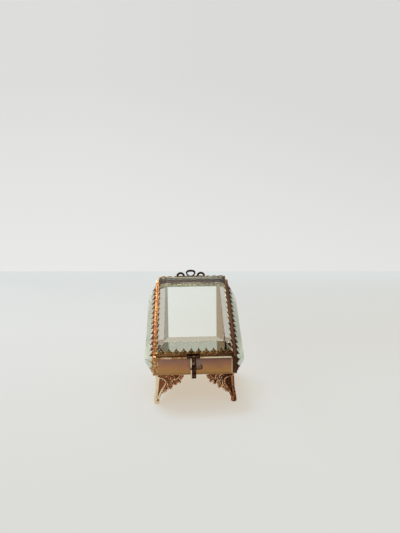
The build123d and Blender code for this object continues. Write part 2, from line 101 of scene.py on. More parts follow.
# ---- small helpers ----
def linear(hex_colour):
    """sRGB hex to the linear colour that the shaders take."""
    channels = [int(hex_colour[i:i + 2], 16) / 255 for i in (1, 3, 5)]
    return [c / 12.92 if c <= 0.04045 else ((c + 0.055) / 1.055) ** 2.4 for c in channels] + [1.0]


def add_node(tree, kind, settings=None, **inputs):
    """Adds a shader node. Settings are its own properties, or a colour ramp's (position, hex) stops.

    An input is named for its socket, or i and the socket's number. It is a value, or a socket or a node
    to link from.
    """
    node = tree.nodes.new(f"ShaderNode{kind}")
    for key, value in (settings or {}).items():
        if key != "stops":
            setattr(node, key, value)
            continue
        elements = node.color_ramp.elements
        while len(elements) < len(value):
            elements.new(0.5)
        for element, (position, colour) in zip(elements, value):
            element.position = position
            element.color = linear(colour)
    for key, value in inputs.items():
        socket = node.inputs[int(key[1:])] if key[1:].isdigit() else node.inputs[key.replace("_", " ")]
        if isinstance(value, bpy.types.Node):
            value = value.outputs[0]
        if isinstance(value, bpy.types.NodeSocket):
            tree.links.new(value, socket)
        else:
            socket.default_value = value
    return node


def new_material(name):
    """Empty node material and its node tree."""
    material = bpy.data.materials.new(name)
    material.use_nodes = True
    material.node_tree.nodes.clear()
    return material, material.node_tree


def per_metre(millimetres):
    """Texture scale that repeats at about this size."""
    return 1 / (millimetres * MM)


def link(obj):
    """Puts an object in the scene."""
    bpy.context.scene.collection.objects.link(obj)
    return obj


def finish_piece(obj, material, body, slot, *nodes):
    """Gives a piece its material and its body, and hides the nodes that it stands for. The slot is not
    used.
    """
    obj.data.materials.append(material)
    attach(obj, body)
    if nodes:
        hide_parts(*nodes)


def bevel(bm, edges, width, segments):
    """Rounds or chamfers the edges."""
    bmesh.ops.bevel(
        bm, geom=edges, offset=width, offset_type="OFFSET", segments=segments,
        profile=0.5, affect="EDGES", clamp_overlap=True, material=-1,
    )


def ease_edges(bm, width, segments=2):
    """Rounds or chamfers each edge that turns."""
    turned = [e for e in bm.edges if len(e.link_faces) == 2 and e.calc_face_angle() > EDGE_TURN]
    bevel(bm, turned, width, segments)


def merged_copy(node):
    """The node's surface as one welded bmesh with flat faces kept whole."""
    bm = bmesh.new()
    bm.from_mesh(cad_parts[node].data)
    bmesh.ops.remove_doubles(bm, verts=bm.verts, dist=WELD)
    bmesh.ops.dissolve_limit(bm, angle_limit=SAME_PLANE, verts=bm.verts, edges=bm.edges)
    bm.normal_update()
    return bm


def mesh_from(bm, name):
    """Mesh with the shape of a bmesh, which is freed."""
    mesh = bpy.data.meshes.new(name)
    bm.to_mesh(mesh)
    bm.free()
    return mesh


def piece_from(bm, name, smooth=True):
    """Object from a bmesh, smooth between creases."""
    for face in bm.faces:
        face.smooth = smooth
    mesh = mesh_from(bm, name)
    if smooth:
        mesh.set_sharp_from_angle(angle=CREASE_TURN)
    return link(bpy.data.objects.new(name, mesh))


def dressed_copy(node, name, edge_width, segments=2):
    """Merged copy of a node with its edges eased."""
    bm = merged_copy(node)
    ease_edges(bm, edge_width, segments)
    return piece_from(bm, name)


def add_ellipsoid(bm, centre, axes, radii):
    """Ellipsoid with the given centre, unit axes and radii."""
    turn = Matrix(axes).transposed().to_4x4()
    place = Matrix.Translation(centre) @ turn @ Matrix.Diagonal((*radii, 1.0))
    bmesh.ops.create_uvsphere(bm, u_segments=16, v_segments=8, radius=1.0, matrix=place)


def add_tubes(bm, paths):
    """Tapered round rods along smooth paths. A path is a list of (point in mm, radius in mm)."""
    curve = bpy.data.curves.new("rods", "CURVE")
    curve.dimensions = "3D"
    curve.bevel_depth = MM
    curve.bevel_resolution = 5
    curve.resolution_u = 8
    curve.use_fill_caps = True
    for path in paths:
        spline = curve.splines.new("BEZIER")
        spline.bezier_points.add(len(path) - 1)
        for knot, (point, radius) in zip(spline.bezier_points, path):
            knot.co = Vector(point) * MM
            knot.radius = radius
            knot.handle_left_type = knot.handle_right_type = "AUTO"
    holder = bpy.data.objects.new("rods", curve)
    mesh = bpy.data.meshes.new_from_object(holder)
    bm.from_mesh(mesh)
    bpy.data.objects.remove(holder)
    bpy.data.curves.remove(curve)
    bpy.data.meshes.remove(mesh)


# ---- materials ----
def metal_surface(tree, colour, dullness, height, depth_mm, strength):
    """Bare metal with a colour, a roughness and fine unevenness."""
    bump = add_node(tree, "Bump", Strength=strength, Distance=depth_mm * MM, Height=height)
    metal = add_node(
        tree, "BsdfPrincipled", Base_Color=colour, Metallic=1.0, Roughness=dullness, Normal=bump,
    )
    add_node(tree, "OutputMaterial", Surface=metal)


RAMP_PLACES = (0.0, 0.35, 0.7, 1.0)
SPECK_MM = 0.5
SPECK_SHARE = 0.5


def worn_metal_painted_side_light(name, colours, dull, bright, blotch_mm, sides=((-1.0, 0.0), (1.0, 0.0))):
    """Old plated brass: four colours from hollow to high spot, broken up by blotches and specks.

    The last argument gives painted light and shade across the casket: how much lighter or darker the metal
    is made at places, as shares of its half width.
    """
    look = bpy.context.scene.casket_metals
    material, tree = new_material(name)
    place = add_node(tree, "TexCoord").outputs["Object"]
    parts = add_node(tree, "SeparateXYZ", Vector=place)
    across = add_node(
        tree, "MapRange", Value=parts.outputs["X"], From_Min=-HALF_WIDTH, From_Max=HALF_WIDTH,
    )
    # Painted light and shade: the metal is made lighter or darker across the casket, as the light falls on
    # each side.
    kept = add_node(tree, "FloatCurve", Value=across)
    points = kept.mapping.curves[0].points
    while len(points) < len(sides):
        points.new(0.5, 0.5)
    for point, (share, amount) in zip(points, sides):
        point.location = ((share + 1) / 2, amount + 0.5)
        point.handle_type = "VECTOR"
    kept.mapping.update()
    blotches, specks = (
        add_node(tree, "TexNoise", Vector=place, Scale=per_metre(size), Detail=detail, Roughness=rough)
        for size, detail, rough in ((blotch_mm, 4.0, 0.6), (SPECK_MM, 3.0, 0.7))
    )
    both = add_node(tree, "Math", {"operation": "MULTIPLY_ADD"}, i0=specks, i1=SPECK_SHARE, i2=blotches)
    level = add_node(tree, "Math", {"operation": "ADD"}, i0=both, i1=kept)
    spread = add_node(tree, "MapRange", Value=level, From_Min=1.02, From_Max=1.48)
    stops = [(at, getattr(look, f"{colour}_hex")) for at, colour in zip(RAMP_PLACES, colours)]
    tint = add_node(tree, "ValToRGB", {"stops": stops}, Fac=spread)
    dullness = add_node(
        tree, "MapRange", Value=both, From_Min=0.52, From_Max=0.98, To_Min=dull, To_Max=bright,
    )
    metal_surface(tree, tint, dullness, specks, 0.07, 0.4)
    return material


def gilt_brass():
    """Stamped brass, gilded and worn: warm gold on the high spots, copper and brown tarnish between.
    Painted shade makes it darker towards the right.
    """
    return worn_metal_painted_side_light(
        "gilt_brass_patinated", ("tarnish", "copper", "gold", "pale_gold"), 0.4, 0.22, 1.4,
        ((-1.0, 0.06), (-0.8, -0.02), (0.6, -0.2), (1.0, -0.36)),
    )


def top_rail_brass():
    """The slanting top rails: copper brown with small bright spots, painted darker than the other strips to
    hold down the lamp's highlight on them, and darker still towards the right as painted shade.
    """
    return worn_metal_painted_side_light(
        "gilt_brass_handled", ("tarnish", "tarnish", "copper", "gold"), 0.5, 0.34, 1.0,
        ((-1.0, -0.02), (-0.8, -0.04), (0.5, -0.2), (1.0, -0.34)),
    )


def dark_lid_strip_brass():
    """The lid's toothed strips: dark brown black with some olive and gold, and painted shade making them
    darker towards the right.
    """
    return worn_metal_painted_side_light(
        "dark_brass_strip", ("dark_low", "tarnish", "olive", "gold"), 0.44, 0.24, 1.2,
        ((-1.0, 0.06), (0.5, 0.04), (0.8, -0.05), (1.0, -0.1)),
    )


def seat_brass_painted_light():
    """Brass against the glass, painted pale and bright: painted light for faces that little light reaches
    through the glass.
    """
    look = bpy.context.scene.casket_metals
    material, tree = new_material("painted_light_seat_brass")
    place = add_node(tree, "TexCoord").outputs["Object"]
    cloud = add_node(tree, "TexNoise", Vector=place, Scale=per_metre(3.0), Detail=3.0, Roughness=0.6)
    stops = [(0.3, look.seat_low_hex), (0.7, look.seat_hex)]
    tint = add_node(tree, "ValToRGB", {"stops": stops}, Fac=cloud)
    metal = add_node(tree, "BsdfPrincipled", Base_Color=tint, Metallic=1.0, Roughness=0.3)
    add_node(tree, "OutputMaterial", Surface=metal)
    return material


def cast_gilt():
    """Cast feet in rose gilt, with brown in the hollows. Painted light makes them much paler on the left,
    towards the window, and painted shade makes them darker on the right.
    """
    return worn_metal_painted_side_light(
        "cast_rose_gilt", ("tarnish", "copper", "rose_gold", "pale_gold"), 0.34, 0.18, 1.3,
        ((-1.0, 0.5), (-0.8, 0.26), (-0.68, 0.08), (0.66, 0.1), (0.86, -0.08), (1.0, -0.16)),
    )


def foot_ground_painted_shade():
    """Sunk ground of the feet, dark brown as painted shade between the scrolls, and darker towards the
    right.
    """
    return worn_metal_painted_side_light(
        "foot_ground_painted_shade_brown", ("dark_low", "tarnish", "copper", "copper"), 0.5, 0.34, 1.4,
        ((-1.0, 0.1), (1.0, -0.15)),
    )


def rim_gilt_painted_light():
    """Rim in pale gilt, painted lighter towards the right as light and darker across the left as shade
    under the lid's front rail.
    """
    return worn_metal_painted_side_light(
        "rim_gilt_painted_light_and_shade", ("copper", "gold", "pale_gold", "painted_light"), 0.4, 0.2, 5.0,
        ((-1.0, 0.2), (-0.9, -0.05), (0.1, -0.05), (0.4, 0.25), (1.0, 0.3)),
    )


def hasp_painted_highlight():
    """Left slope of the hasp, painted pale as a highlight."""
    return worn_metal_painted_side_light(
        "hasp_painted_highlight_edge", ("gold", "pale_gold", "painted_light", "painted_light"), 0.5, 0.4, 2.0,
        ((-1.0, 0.2), (1.0, 0.2)),
    )


def dark_bronze():
    """Brass fittings gone almost black brown, with bare metal just showing where they are handled."""
    return worn_metal_painted_side_light("darkened_bronze", ("dark_low", "dark_low", "dark_mid", "dark_worn"), 0.46, 0.3, 1.4)


def satin_band_brass():
    """Rolled brass sheet under a satin lacquer, mauve brown at the top and olive gold at the bottom; this
    run by height is painted shade, darkest under the lid's rail.
    """
    look = bpy.context.scene.casket_metals
    material, tree = new_material("satin_lacquered_brass_band")
    place = add_node(tree, "TexCoord").outputs["Object"]
    height = add_node(tree, "SeparateXYZ", Vector=place).outputs["Z"]
    # Painted shade: the band darkens upwards towards the lid's overhanging rail.
    up = add_node(tree, "MapRange", Value=height, From_Min=BAND_LOW.z, From_Max=BAND_HIGH.z)
    cloud = add_node(tree, "TexNoise", Vector=place, Scale=per_metre(7.0), Detail=3.0, Roughness=0.6)
    drawn_out = add_node(tree, "Mapping", Vector=place, Scale=(0.12, 1.0, 1.0))
    streaks, fine = (
        add_node(tree, "TexNoise", Vector=drawn_out, Scale=per_metre(size), Detail=2.0, Roughness=0.5)
        for size in (0.8, 0.15)
    )
    uneven = add_node(tree, "Math", {"operation": "MULTIPLY_ADD"}, i0=cloud, i1=0.7, i2=-0.35)
    lined = add_node(tree, "Math", {"operation": "MULTIPLY_ADD"}, i0=streaks, i1=0.5, i2=uneven)
    level = add_node(tree, "Math", {"operation": "ADD"}, i0=up, i1=lined)
    spread = add_node(tree, "MapRange", Value=level, From_Min=0.1, From_Max=1.3)
    stops = [
        (0.0, look.band_low_hex), (0.3, look.band_gold_hex),
        (0.6, look.band_rose_hex), (1.0, look.band_top_hex),
    ]
    tint = add_node(tree, "ValToRGB", {"stops": stops}, Fac=spread)
    # A grey patch on the band beside the hasp: a painted shadow of the hasp.
    away = add_node(
        tree, "VectorMath", {"operation": "DISTANCE"},
        i0=place, i1=(HASP_HIGH.x + 1.2 * MM, BAND_LOW.y, RIVET_HIGH.z + 1.2 * MM),
    ).outputs["Value"]
    painted_light = add_node(
        tree, "MapRange",
        Value=away, From_Min=1.0 * MM, From_Max=3.4 * MM, To_Min=0.85, To_Max=0.0,
    )
    mixed = add_node(
        tree, "Mix", {"data_type": "RGBA"}, i0=painted_light, i6=tint, i7=linear(look.hasp_shadow_grey_hex),
    )
    dullness = add_node(
        tree, "MapRange", Value=cloud, From_Min=0.3, From_Max=0.7, To_Min=0.36, To_Max=0.48,
    )
    metal_surface(tree, mixed.outputs[2], dullness, fine, 0.02, 0.2)
    return material


def bevelled_glass():
    """Old plate glass with a faint green body that gathers in the bevels."""
    look = bpy.context.scene.casket_glass
    material, tree = new_material("bevelled_plate_glass")
    # Each facet's colour is a painted reflection of the brass and the room behind it.
    facet = add_node(tree, "Attribute", {"attribute_name": "facet_tint"}).outputs
    glass = add_node(
        tree, "BsdfPrincipled",
        Base_Color=facet["Color"], Roughness=0.0, IOR=look.bending, Transmission_Weight=1.0,
    )
    # Facets with less alpha get a pale matt share: painted light on the side plates' bevels, in place of
    # part of the light they pass.
    dull = add_node(tree, "BsdfPrincipled", Base_Color=linear(look.painted_bevel_light_hex), Roughness=0.8)
    plate = add_node(tree, "MixShader", i0=facet["Alpha"], i1=dull, i2=glass)
    # Light from the lamp passes the plates, as it does in the real thing.
    clear = add_node(tree, "BsdfTransparent", Color=linear(look.clear_hex))
    shadow_ray = add_node(tree, "LightPath").outputs["Is Shadow Ray"]
    surface = add_node(tree, "MixShader", i0=shadow_ray, i1=plate, i2=clear)
    inside = add_node(tree, "VolumeAbsorption", Color=linear(look.body_hex), Density=look.body_density)
    add_node(tree, "OutputMaterial", Surface=surface, Volume=inside)
    return material


def wall_paint():
    """Matt off-white wall, shown as a glow with painted light and shade: a little darker to the right and
    at the top.
    """
    look = bpy.context.scene.casket_stage
    material, tree = new_material("matt_wall")
    place = add_node(tree, "TexCoord").outputs["Object"]
    parts = add_node(tree, "SeparateXYZ", Vector=place).outputs
    across = add_node(tree, "MapRange", Value=parts["X"], From_Min=-0.25, From_Max=0.45)
    up = add_node(tree, "MapRange", Value=parts["Z"], From_Min=0.0, From_Max=0.4, To_Min=0.0, To_Max=0.82)
    away = add_node(tree, "Math", {"operation": "MULTIPLY_ADD"}, i0=across, i1=0.45, i2=up)
    stops = [(0.0, look.wall_low_hex), (0.5, look.wall_hex), (1.0, look.wall_far_hex)]
    shade = add_node(tree, "ValToRGB", {"stops": stops}, Fac=away)
    shown = add_node(tree, "Emission", Color=shade, Strength=1.0)
    add_node(tree, "OutputMaterial", Surface=shown)
    return material


def floor_paint():
    """Matt off-white table top.

    Part of its colour is lit and keeps the shadow. The rest is the warm light that the brass and the
    room throw back, which fills the shadow. Only camera, mirror and glass rays see that rest.
    """
    look = bpy.context.scene.casket_stage
    material, tree = new_material("matt_table")
    place = add_node(tree, "TexCoord").outputs["Object"]
    parts = add_node(tree, "SeparateXYZ", Vector=place).outputs
    across = add_node(tree, "MapRange", Value=parts["X"], From_Min=-0.06, From_Max=0.07)
    near = add_node(tree, "MapRange", Value=parts["Y"], From_Min=0.15, From_Max=-0.12)
    away = add_node(tree, "Math", {"operation": "MAXIMUM"}, i0=across, i1=near)
    stops = [(0.0, look.floor_glow_hex), (1.0, look.floor_glow_far_hex)]
    glow = add_node(tree, "ValToRGB", {"stops": stops}, Fac=away)
    behind = add_node(tree, "MapRange", Value=parts["Y"], From_Min=0.1, From_Max=0.5)
    tone = add_node(
        tree, "Mix", {"data_type": "RGBA"}, i0=behind, i6=glow, i7=linear(look.floor_behind_hex),
    )
    matt = add_node(tree, "BsdfDiffuse", Color=linear(look.floor_hex))
    shown = add_node(tree, "Emission", Color=tone.outputs[2], Strength=1.0)
    ray = add_node(tree, "LightPath").outputs
    seen = ray["Is Camera Ray"]
    for other in (ray["Is Glossy Ray"], ray["Is Transmission Ray"]):
        seen = add_node(tree, "Math", {"operation": "MAXIMUM"}, i0=seen, i1=other)
    share = add_node(tree, "Math", {"operation": "MULTIPLY"}, i0=seen, i1=look.floor_share)
    surface = add_node(tree, "MixShader", i0=share, i1=matt, i2=shown)
    add_node(tree, "OutputMaterial", Surface=surface)
    return material


# ---- settings ----
def hex_setting(name, description, default):
    """Setting for a colour."""
    return bpy.props.StringProperty(name=name, description=f"{description}, as sRGB hex", default=default)


def length_setting(name, description, default, **limits):
    """Setting for a length."""
    return bpy.props.FloatProperty(
        name=name, description=description, default=default,
        subtype="DISTANCE", unit="LENGTH", precision=5, **limits,
    )


def angle_setting(name, description, degrees):
    """Setting for an angle."""
    return bpy.props.FloatProperty(
        name=name, description=description, default=radians(degrees), subtype="ANGLE", unit="ROTATION",
    )


class CasketMetals(bpy.types.PropertyGroup):
    gold_hex: hex_setting("Gold", "Gilding where it is whole", "#C0935A")
    pale_gold_hex: hex_setting("Pale gold", "Gilding on the high spots", "#F4DCBC")
    copper_hex: hex_setting("Copper", "Rosy metal where the gilding is thin", "#98603C")
    tarnish_hex: hex_setting("Tarnish", "Brown in the hollows", "#4E3322")
    # The band's colours, from bottom to top, are painted shade, darkest under the lid's rail.
    band_top_hex: hex_setting("Band top", "Mauve brown at the top of the front band", "#9C766C")
    band_rose_hex: hex_setting("Band rose", "Copper rose in the middle of the band", "#B4805F")
    band_gold_hex: hex_setting("Band gold", "Gold in the lower part of the band", "#B98956")
    band_low_hex: hex_setting("Band bottom", "Olive gold at the foot of the band", "#AC8457")
    olive_hex: hex_setting("Olive", "Tarnish on the lid's strips where some gilding is left", "#8A6A3E")
    rose_gold_hex: hex_setting("Rose gold", "Gilding of the cast feet", "#D0986C")
    # The palest gilt is painted light: the highlight on the rim's right and on the hasp's left slope.
    painted_light_hex: hex_setting("Rubbed gilt", "Rim where the lid rubs it bright", "#F0DDBB")
    # The grey patch beside the hasp is a painted shadow of the hasp.
    hasp_shadow_grey_hex: hex_setting("Rubbed lacquer", "Grey patch beside the hasp", "#8A8078")
    # On the feet's ground, this colour and the tarnish are painted shade.
    dark_low_hex: hex_setting("Dark bronze", "Patina in the hollows", "#2A1D17")
    dark_mid_hex: hex_setting("Brown bronze", "Patina on the flats", "#5E4030")
    dark_worn_hex: hex_setting("Worn bronze", "Bare metal at worn spots", "#8A6244")
    # The seat colours are painted light: pale, for faces against the glass that little light reaches.
    seat_hex: hex_setting("Seat", "Clean brass against the glass", "#F6F4E8")
    seat_low_hex: hex_setting("Seat shade", "The same in its duller parts", "#E6E2CF")
    side_wear: bpy.props.FloatProperty(
        name="Worn side teeth", description="Share of the lid's side teeth worn away",
        default=0.35, min=0.0, max=1.0, subtype="FACTOR",
    )
    tooth_hollow: length_setting(
        "Tooth hollow", "How far the teeth's flanks curve in", 0.42 * MM, min=0.0, max=0.8 * MM,
    )
    rail_round: length_setting(
        "Rail rounding", "Rounding of the rails' long edges", 0.25 * MM, min=0.0, max=0.35 * MM,
    )
    boss_height: length_setting(
        "Boss height", "Height of the boss at the foot of each tooth", 0.32 * MM, min=0.0, max=0.5 * MM,
    )
    bead_count: bpy.props.IntProperty(
        name="Beads", description="Number of pressed beads along the lid's front rail",
        default=21, min=4, max=60,
    )
    fold_width: length_setting(
        "Fold width", "Width of the fold at each end of the band", 0.5 * MM, min=0.1 * MM, max=1.0 * MM,
    )
    fold_height: length_setting(
        "Fold height", "How far that fold stands out", 0.35 * MM, min=0.1 * MM, max=1.0 * MM,
    )
    hasp_chamfer: length_setting(
        "Hasp chamfer", "Chamfer down each side of the hasp", 0.7 * MM, min=0.0, max=1.0 * MM,
    )
    edge_round: length_setting(
        "Edge rounding", "Rounding of the strips' edges", 0.09 * MM, min=0.0, max=0.3 * MM,
    )


class CasketGlass(bpy.types.PropertyGroup):
    # The side plates' bevels get a pale matt share as painted light.
    painted_bevel_light_share: bpy.props.FloatProperty(
        name="Ground share", description="Share of the light that the side plates' bevels scatter",
        default=0.5, min=0.0, max=1.0, subtype="FACTOR",
    )
    painted_bevel_light_hex: hex_setting("Ground facets", "Colour of the dulled bevels", "#F0F1DC")
    bending: bpy.props.FloatProperty(
        name="Bending", description="Refractive index, low so that the bevels stay clear", default=1.27,
    )
    clear_hex: hex_setting("Clear", "Light that the plates pass", "#F8FAF6")
    body_hex: hex_setting("Body colour", "Colour that the thickness takes", "#DDEAC8")
    body_density: bpy.props.FloatProperty(
        name="Body density", description="How strongly the thickness colours the light, per metre",
        default=14.0, min=0.0, max=200.0,
    )
    back_draw: length_setting(
        "Back side bevels", "How much wider the back plate's side bevels are cut", 1.3 * MM,
        min=0.0, max=4 * MM,
    )
    back_drop: length_setting(
        "Back foot bevel", "How much narrower the back plate's lower bevel is cut", 1.6 * MM,
        min=0.0, max=3 * MM,
    )
    play: length_setting(
        "Play", "Air between a plate and the strips round it", 0.03 * MM, min=0.0, max=0.1 * MM,
    )
    arris: length_setting(
        "Arris", "Width of the flat ground on each edge of the glass", 0.14 * MM, min=0.0, max=0.5 * MM,
    )


class CasketStage(bpy.types.PropertyGroup):
    ceiling_gain: bpy.props.FloatProperty(
        name="Ceiling", description="How much brighter the ceiling straight above is than the room",
        default=3.3,
    )
    wall_low_hex: hex_setting("Wall foot", "Backdrop colour near the table on the left", "#E9E9E8")
    wall_hex: hex_setting("Wall", "Backdrop colour", "#E3E3E1")
    floor_hex: hex_setting("Table", "The table's share that takes the shadow", "#ACD2F1")
    wall_far_hex: hex_setting("Wall far", "Backdrop colour towards its right and its top", "#DADAD8")
    floor_behind_hex: hex_setting(
        "Floor near the wall", "Colour thrown back by the table far behind the casket", "#FFF9EA",
    )
    floor_glow_hex: hex_setting("Table glow", "Colour of the table's share that takes no shadow", "#FFEDD5")
    floor_glow_far_hex: hex_setting(
        "Table glow near", "The same near the camera and on the right", "#F2DDBE",
    )
    floor_share: bpy.props.FloatProperty(
        name="Table glow share", description="Share of the table's colour that takes no shadow",
        default=0.6, min=0.0, max=1.0, subtype="FACTOR",
    )
    window_hex: hex_setting("Window", "Light from the left", "#FFFFFF")
    room_hex: hex_setting("Room", "Light from above", "#E4E4E4")
    room_dim_hex: hex_setting("Dim room", "Light from the front", "#8C8986")
    room_dark_hex: hex_setting("Dark room", "Light from the right", "#2E2A28")
    fill_hex: hex_setting("Fill", "Even light that matt surfaces get", "#D9D9D9")
    room_strength: bpy.props.FloatProperty(
        name="Room strength", description="Level of the room's light", default=1.0, min=0.0, max=3.0,
    )
    daylight: bpy.props.FloatProperty(
        name="Daylight", description="Strength of the soft light from above and behind",
        default=1.5, min=0.0,
    )
    camera_height: length_setting("Camera height", "Camera above the table", 121.9 * MM)
    camera_distance: length_setting("Camera distance", "Camera ahead of the frame's front face", 254.3 * MM)
    camera_side: length_setting("Camera side step", "Camera to the right of the casket's middle", -7.2 * MM)
    camera_heading: angle_setting("Camera heading", "Turn of the camera to the right", 2.49)
    camera_pitch: angle_setting("Camera pitch", "How far the camera looks down", 7.2)
    camera_roll: angle_setting("Camera roll", "Clockwise lean of the camera", 0.6)
    focal_pixels: bpy.props.FloatProperty(
        name="Focal length in pixels", description="Focal length for the photograph's 400 by 533 frame",
        default=410.0, min=50.0,
    )
    wall_distance: length_setting(
        "Wall distance", "Wall behind the camera's target, from the camera", 883.0 * MM,
    )
    wall_turn: angle_setting("Wall turn", "Turn of the wall that keeps its foot level in the picture", -4.3)


# ---- pieces ----
def shrink(bm, amount):
    """Moves every face in by the same amount."""
    bm.normal_update()
    moves = [(v, v.normal * (v.calc_shell_factor() * -amount)) for v in bm.verts]
    for vert, move in moves:
        vert.co += move


def widen_back_bevels(bm, look):
    """Draws in the sides of the back plate's outer face and lets its foot down."""
    outer_y = max(vert.co.y for vert in bm.verts)
    outer = [vert for vert in bm.verts if abs(vert.co.y - outer_y) < SAME_PLACE]
    middle_z = sum(vert.co.z for vert in outer) / len(outer)
    for vert in outer:
        vert.co.x -= look.back_draw if vert.co.x > 0 else -look.back_draw
        if vert.co.z < middle_z:
            vert.co.z -= look.back_drop


def node_outward(node):
    """Direction that a plate, or a strip's teeth, face: away from the casket's or the lid's inside."""
    if node.startswith("lid"):
        return Vector((0, -sin(LID_SLOPE), cos(LID_SLOPE)))
    if node.startswith("back_") and not node.endswith("_post"):
        return Vector((0, 1, 0))
    low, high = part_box(node)
    return Vector((1 if low[0] + high[0] > 0 else -1, 0, 0))


# Painted reflections: the colour each bevel is given for the brass and the room that it would show.
PAINTED_FACET_REFLECTIONS = {
    ("lid_glass", "left"): "#D2C1B5",
    ("lid_glass", "right"): "#CABFB7",
    ("lid_glass", "low"): "#F4F6DC",
    ("lid_glass", "high"): "#9C9E8A",
    ("back_glass", "left"): "#6E6A5A",
    ("back_glass", "right"): "#7B5B3C",
    ("back_glass", "low"): "#A8977F",
    ("back_glass", "high"): "#6B6C55",
}
# Cosine of a facet's angle to a direction: facing it, at least a bevel, and at least a side bevel.
SQUARE = 0.995
BEVEL_OUTWARD = 0.5
BEVEL_SIDEWARD = 0.3


def facet_tint(node, normal, ground):
    """Painted reflection that a facet is given for the brass and the room behind it, and how clear it is.
    """
    if node in ("left_glass", "right_glass"):
        return (1.0, 1.0, 1.0, 1.0 - ground if BEVEL_SIDEWARD < abs(normal.x) < SQUARE else 1.0)
    outward = node_outward(node)
    if not BEVEL_OUTWARD < normal.dot(outward) < SQUARE:
        return (1.0, 1.0, 1.0, 1.0)
    if abs(normal.x) > BEVEL_SIDEWARD:
        side = "left" if normal.x < 0 else "right"
    else:
        side = "low" if normal.dot(outward.cross((1, 0, 0))) > 0 else "high"
    return linear(PAINTED_FACET_REFLECTIONS[node, side])


class CASKET_OT_glass(bpy.types.Operator):
    """Bevelled glass plates of the walls and the lid"""

    bl_idname = "casket.glass"
    bl_label = "Glass plates"

    def execute(self, context):
        look = context.scene.casket_glass
        material = bevelled_glass()
        for node in GLASS_NODES:
            bm = merged_copy(node)
            if node == "back_glass":
                widen_back_bevels(bm, look)
            shrink(bm, look.play)
            ease_edges(bm, look.arris, 1)
            plate = piece_from(bm, f"{node}_plate", smooth=False)
            body = "lid" if node.startswith("lid") else "casket"
            finish_piece(plate, material, body, "bevelled_glass", node)
            # Each facet gets its painted reflection and its share of painted matt light.
            tints = plate.data.attributes.new("facet_tint", "FLOAT_COLOR", "FACE")
            for face, tint in zip(plate.data.polygons, tints.data):
                tint.color = facet_tint(node, face.normal, look.painted_bevel_light_share)
        return {"FINISHED"}


TOOTH_THICKNESS = 0.4 * MM
THICKNESS_SLACK = 0.02 * MM
FLANK_SHORTEST = 2.2 * MM
FLANK_LONGEST = 5.0 * MM
FLANK_CUTS = 4
ON_FLANK = 0.004 * MM


def flank_faces(bm):
    """The narrow side faces of the teeth, each with its two short and its two long edges."""
    found = []
    for face in bm.faces:
        if len(face.edges) != 4:
            continue
        edges = sorted(face.edges, key=lambda e: e.calc_length())
        thin = all(abs(e.calc_length() - TOOTH_THICKNESS) < THICKNESS_SLACK for e in edges[:2])
        if thin and all(FLANK_SHORTEST < e.calc_length() < FLANK_LONGEST for e in edges[2:]):
            found.append((face, edges[:2], edges[2:]))
    return found


def tooth_places(bm):
    """Each tooth's foot, its directions along, up and out, its half width and its height."""
    by_edge = {}
    for _, short, _ in flank_faces(bm):
        for edge in short:
            by_edge.setdefault(edge, []).append(short)
    places = []
    for edge, pairs in by_edge.items():
        if len(pairs) != 2 or not edge.is_convex:
            continue
        tip = (edge.verts[0].co + edge.verts[1].co) / 2
        roots = [next(e for e in pair if e is not edge) for pair in pairs]
        feet = [(e.verts[0].co + e.verts[1].co) / 2 for e in roots]
        foot = (feet[0] + feet[1]) / 2
        along = (feet[1] - feet[0]).normalized()
        up = (tip - foot).normalized()
        out = along.cross(up).normalized()
        places.append((foot.copy(), along, up, out, (feet[1] - feet[0]).length / 2, (tip - foot).length))
    return places


def hollow_flanks(bm, sag):
    """Draws the straight flanks of the teeth in to a hollow curve."""
    lines = {}
    for face, _, long_edges in flank_faces(bm):
        for edge in long_edges:
            lines[edge] = (face.normal.copy(), edge.verts[0].co.copy(), edge.verts[1].co.copy())
    bmesh.ops.subdivide_edges(bm, edges=list(lines), cuts=FLANK_CUTS, use_grid_fill=True)
    for vert in bm.verts:
        for normal, start, end in lines.values():
            span = end - start
            share = (vert.co - start).dot(span) / span.length_squared
            if 0.01 < share < 0.99 and (start + span * share - vert.co).length < ON_FLANK:
                vert.co -= normal * (sag * 4 * share * (1 - share))
                break


LONG_EDGE = 8 * MM
LEAST_FACE = 0.6 * MM
LEAST_CORNER, MOST_CORNER = radians(50), radians(130)


def round_long_edges(bm, width):
    """Rounds the long square edges of a rail, as its folded sheet has them."""
    chosen = [
        edge for edge in bm.edges
        if len(edge.link_faces) == 2
        and edge.is_convex
        and edge.calc_length() > LONG_EDGE
        and LEAST_CORNER < edge.calc_face_angle() < MOST_CORNER
        and min(face.calc_area() for face in edge.link_faces) > LEAST_FACE * edge.calc_length()
    ]
    if chosen:
        bevel(bm, chosen, width, 3)


def glass_surfaces():
    """Search tree over the surfaces of all the plates."""
    bm = bmesh.new()
    for node in GLASS_NODES:
        bm.from_mesh(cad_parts[node].data)
    tree = BVHTree.FromBMesh(bm)
    bm.free()
    return tree


SEAT_GAP = 0.1 * MM
SEAT_FACING = -0.9


def mark_seats(bm, plates):
    """Gives the faces that lie against the glass the second material."""
    bm.normal_update()
    for face in bm.faces:
        centre = face.calc_center_median()
        normal = plates.find_nearest(centre, SEAT_GAP)[1]
        if normal is not None and face.normal.dot(normal) < SEAT_FACING:
            face.material_index = 1


# Shares of a tooth: the part at its foot that doesn't wear, and its boss's place up, width and height.
FOOT_SHARE = 0.3
BOSS_UP = 0.12
BOSS_WIDE = 0.6
BOSS_HIGH = 0.22


def shorten_teeth(bm, share):
    """Draws the tips of the teeth back, as the lid's side strips are more worn than its front one."""
    for foot, along, up, out, half_width, height in tooth_places(bm):
        for vert in bm.verts:
            away = vert.co - foot
            on_tooth = abs(away.dot(along)) < half_width and abs(away.dot(out)) < MM
            if on_tooth and away.dot(up) > FOOT_SHARE * height:
                vert.co -= up * (share * away.dot(up))


